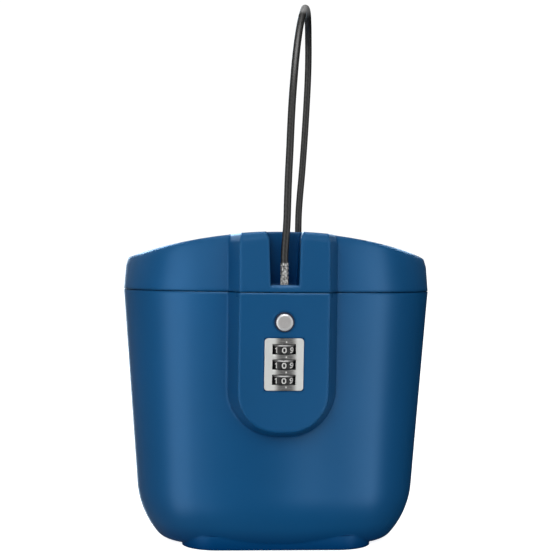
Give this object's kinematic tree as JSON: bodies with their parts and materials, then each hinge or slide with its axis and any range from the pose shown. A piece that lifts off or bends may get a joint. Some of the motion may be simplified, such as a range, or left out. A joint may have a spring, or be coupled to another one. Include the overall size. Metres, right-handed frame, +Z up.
{
  "type": "portable beach safe",
  "caption": "Oval moulded tub with a hinged arched lid, a raised lock housing with a button and a column of number wheels, and a coated steel cable loop for tying it down.",
  "frame": {"origin": "middle of the footprint of the tub, lid and lock at the level it stands on, without the cable", "axes": "+Z up, -Y towards the lock housing at the front, +X to the right seen from the front"},
  "size_m": [0.165, 0.1263, 0.2877],
  "materials": {
    "blue_shell": "satin moulded",
    "blue_lid": "satin moulded",
    "plate_steel": "brushed, horizontal grain",
    "black_plastic": "matte",
    "inner_steel": "plain",
    "spacer_plastic": "natural white",
    "button_steel": "satin",
    "wheel_plastic": "black with light numerals",
    "seal_rubber": "soft",
    "grommet_rubber": "soft",
    "cable_coating": "smooth coated steel cable",
    "ferrule_metal": "crimped"
  },
  "bodies": {
    "tub": {"body_shell": "blue_shell", "dial_plate": "plate_steel", "lock_case": "black_plastic", "lock_case_screws": "inner_steel", "dial_spindle": "inner_steel", "wheel_spacers": "spacer_plastic", "detent_spring": "inner_steel", "button_bush": "black_plastic", "plunger_spring": "inner_steel", "hinge_pin": "inner_steel"},
    "lid": {"lid_shell": "blue_lid", "lid_seal": "seal_rubber", "strike_plate": "inner_steel", "strike_screws": "inner_steel", "cable_grommet": "grommet_rubber", "security_cable": "cable_coating", "front_ferrule": "ferrule_metal", "rear_ferrule": "ferrule_metal"},
    "button": {"push_button": "button_steel", "lock_bolt": "inner_steel", "release_comb": "inner_steel"},
    "wheel_top": {"number_wheel_top": "wheel_plastic"},
    "wheel_middle": {"number_wheel_middle": "wheel_plastic"},
    "wheel_bottom": {"number_wheel_bottom": "wheel_plastic"}
  },
  "joints": [
    {"name": "lid_hinge", "type": "hinge", "parent": "tub", "child": "lid", "pos_m": [0, 0.05935, 0.1345], "axis": [-1, 0, 0], "range_deg": [0, 105]},
    {"name": "button_slide", "type": "slide", "parent": "tub", "child": "button", "axis": [0, 0.9969, 0.0785], "range_m": [0, 0.0022], "stiffness_N_per_m": 600, "springref_m": -0.002, "deforming": ["plunger_spring"]},
    {"name": "dial_top", "type": "hinge", "parent": "tub", "child": "wheel_top", "pos_m": [0, -0.05454, 0.10679], "axis": [0, -0.0785, 0.9969], "continuous": true},
    {"name": "dial_middle", "type": "hinge", "parent": "tub", "child": "wheel_middle", "pos_m": [0, -0.05393, 0.09911], "axis": [0, -0.0785, 0.9969], "continuous": true},
    {"name": "dial_bottom", "type": "hinge", "parent": "tub", "child": "wheel_bottom", "pos_m": [0, -0.05333, 0.09144], "axis": [0, -0.0785, 0.9969], "continuous": true}
  ]
}
